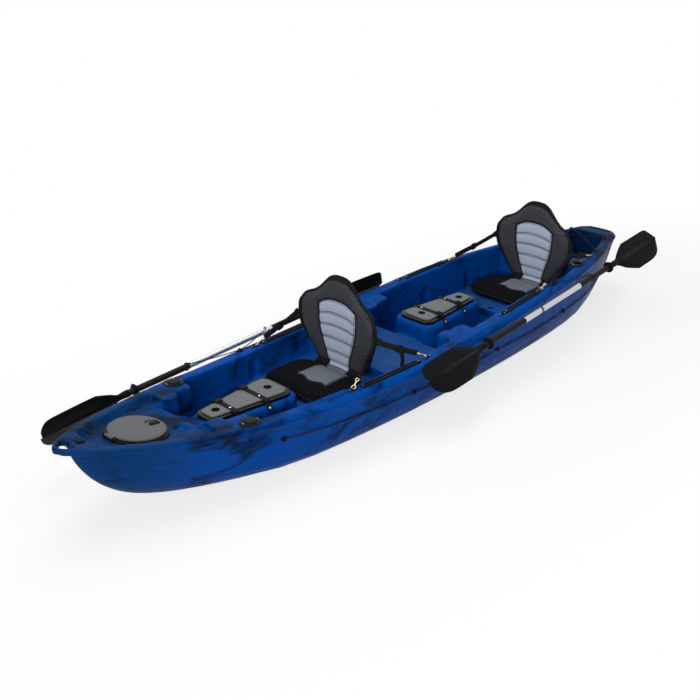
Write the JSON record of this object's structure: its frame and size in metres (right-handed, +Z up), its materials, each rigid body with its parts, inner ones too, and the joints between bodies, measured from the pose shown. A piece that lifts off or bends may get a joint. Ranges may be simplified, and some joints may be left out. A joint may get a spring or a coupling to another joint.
{
  "type": "tandem sit-on-top kayak",
  "caption": "Two-seat sit-on-top kayak with padded folding seats, strapped console hatches, a round bow hatch, rod holders, deck rails and side-stowed take-apart paddles.",
  "frame": {"origin": "on the keel strip, halfway along the hull", "axes": "+X to the bow, +Y to port, +Z up"},
  "size_m": [3.6982, 0.982, 0.666],
  "materials": {
    "hull_plastic": "satin",
    "grey_lid": "matte",
    "black_plastic": "satin",
    "webbing": "matte",
    "seat_fabric": "matte",
    "brass": "polished",
    "steel": "satin",
    "shaft_metal": "satin",
    "rubber": "matte"
  },
  "bodies": {
    "hull": {"hull_shell": "hull_plastic", "bow_hatch_ring": "black_plastic", "bow_hatch_pin": "steel", "front_strap_anchors": "webbing", "rear_strap_anchors": "webbing", "front_seat_pad": "seat_fabric", "rear_seat_pad": "seat_fabric", "front_seat_straps": "webbing", "front_snap_hooks": "brass", "rear_seat_straps": "webbing", "rear_snap_hooks": "brass", "deck_padeyes": "black_plastic", "side_padeyes": "black_plastic", "fitting_screws": "steel", "accessory_rails": "black_plastic", "front_rod_holder_port": "black_plastic", "front_rod_holder_starboard": "black_plastic", "rear_rod_holder_port": "black_plastic", "rear_rod_holder_starboard": "black_plastic", "deck_line_port": "webbing", "deck_line_starboard": "webbing", "stern_bungee": "webbing", "paddle_bungee_port": "webbing", "paddle_bungee_starboard": "webbing"},
    "bow_lid": {"bow_hatch_lid": "grey_lid"},
    "bow_latch": {"bow_hatch_latch": "black_plastic"},
    "front_lid": {"front_lid_tray": "black_plastic", "front_lid_plate": "grey_lid", "front_lid_straps": "webbing"},
    "rear_lid": {"rear_lid_tray": "black_plastic", "rear_lid_plate": "grey_lid", "rear_lid_straps": "webbing"},
    "front_back": {"front_seat_back": "seat_fabric"},
    "rear_back": {"rear_seat_back": "seat_fabric"},
    "port_rod_cap": {"rod_cap_port": "black_plastic"},
    "starboard_rod_cap": {"rod_cap_starboard": "black_plastic"},
    "drain": {"drain_plug": "rubber"},
    "port_fore_half": {"port_shaft_fore": "shaft_metal", "port_blade_fore": "black_plastic", "port_ring_fore": "rubber"},
    "port_aft_half": {"port_shaft_aft": "shaft_metal", "port_blade_aft": "black_plastic", "port_ring_aft": "rubber"},
    "port_press": {"port_button": "steel"},
    "starboard_aft_half": {"starboard_shaft_aft": "shaft_metal", "starboard_blade_aft": "black_plastic", "starboard_ring_aft": "rubber"},
    "starboard_fore_half": {"starboard_shaft_fore": "shaft_metal", "starboard_blade_fore": "black_plastic", "starboard_ring_fore": "rubber"},
    "starboard_press": {"starboard_button": "steel"}
  },
  "joints": [
    {"name": "bow_lid_hinge", "type": "hinge", "parent": "hull", "child": "bow_lid", "pos_m": [1.61039, 0, 0.35607], "axis": [0, 1, 0], "range_deg": [0, 110]},
    {"name": "bow_latch_pivot", "type": "hinge", "parent": "bow_lid", "child": "bow_latch", "pos_m": [1.39053, 0, 0.33331], "axis": [0, -1, 0], "range_deg": [0, 60]},
    {"name": "front_lid_hinge", "type": "hinge", "parent": "hull", "child": "front_lid", "pos_m": [0.955, 0.108, 0.254], "axis": [-1, 0, 0], "range_deg": [0, 100]},
    {"name": "rear_lid_hinge", "type": "hinge", "parent": "hull", "child": "rear_lid", "pos_m": [-0.345, -0.108, 0.292], "axis": [1, 0, 0], "range_deg": [0, 100]},
    {"name": "front_seat_fold", "type": "hinge", "parent": "hull", "child": "front_back", "pos_m": [0.356, 0, 0.218], "axis": [0, 1, 0], "range_deg": [0, 60], "deforming": ["front_seat_straps"]},
    {"name": "rear_seat_fold", "type": "hinge", "parent": "hull", "child": "rear_back", "pos_m": [-1.146, 0, 0.226], "axis": [0, 1, 0], "range_deg": [0, 60], "deforming": ["rear_seat_straps"]},
    {"name": "port_cap_lift", "type": "slide", "parent": "hull", "child": "port_rod_cap", "axis": [-0.0661, 0.2588, 0.9637], "range_m": [0, 0.06]},
    {"name": "starboard_cap_lift", "type": "slide", "parent": "hull", "child": "starboard_rod_cap", "axis": [-0.0661, -0.2588, 0.9637], "range_m": [0, 0.06]},
    {"name": "drain_plug_turn", "type": "hinge", "parent": "hull", "child": "drain", "pos_m": [1.733, 0, 0.38781], "axis": [-0.144, 0, 0.9896], "continuous": true},
    {"name": "port_paddle_lift", "type": "slide", "parent": "hull", "child": "port_fore_half", "axis": [0, 0.5, 0.866], "range_m": [0, 0.25], "deforming": ["paddle_bungee_port"]},
    {"name": "port_paddle_feather", "type": "hinge", "parent": "port_fore_half", "child": "port_aft_half", "pos_m": [-0.743, 0.394, 0.319], "axis": [0.997, 0.0517, -0.0569], "range_deg": [-60, 60], "deforming": ["paddle_bungee_port"]},
    {"name": "port_button_press", "type": "slide", "parent": "port_fore_half", "child": "port_press", "axis": [-0.0568, -0.0029, -0.9984], "range_m": [0, 0.002], "stiffness_N_per_m": 600, "springref_m": -0.001},
    {"name": "starboard_paddle_lift", "type": "slide", "parent": "hull", "child": "starboard_aft_half", "axis": [0, -0.5, 0.866], "range_m": [0, 0.25], "deforming": ["paddle_bungee_starboard"]},
    {"name": "starboard_paddle_feather", "type": "hinge", "parent": "starboard_aft_half", "child": "starboard_fore_half", "pos_m": [0.667, -0.4125, 0.2854], "axis": [0.999, 0.0333, -0.0305], "range_deg": [-60, 60], "deforming": ["paddle_bungee_starboard"]},
    {"name": "starboard_button_press", "type": "slide", "parent": "starboard_fore_half", "child": "starboard_press", "axis": [-0.0305, -0.001, -0.9995], "range_m": [0, 0.002], "stiffness_N_per_m": 600, "springref_m": -0.001}
  ]
}
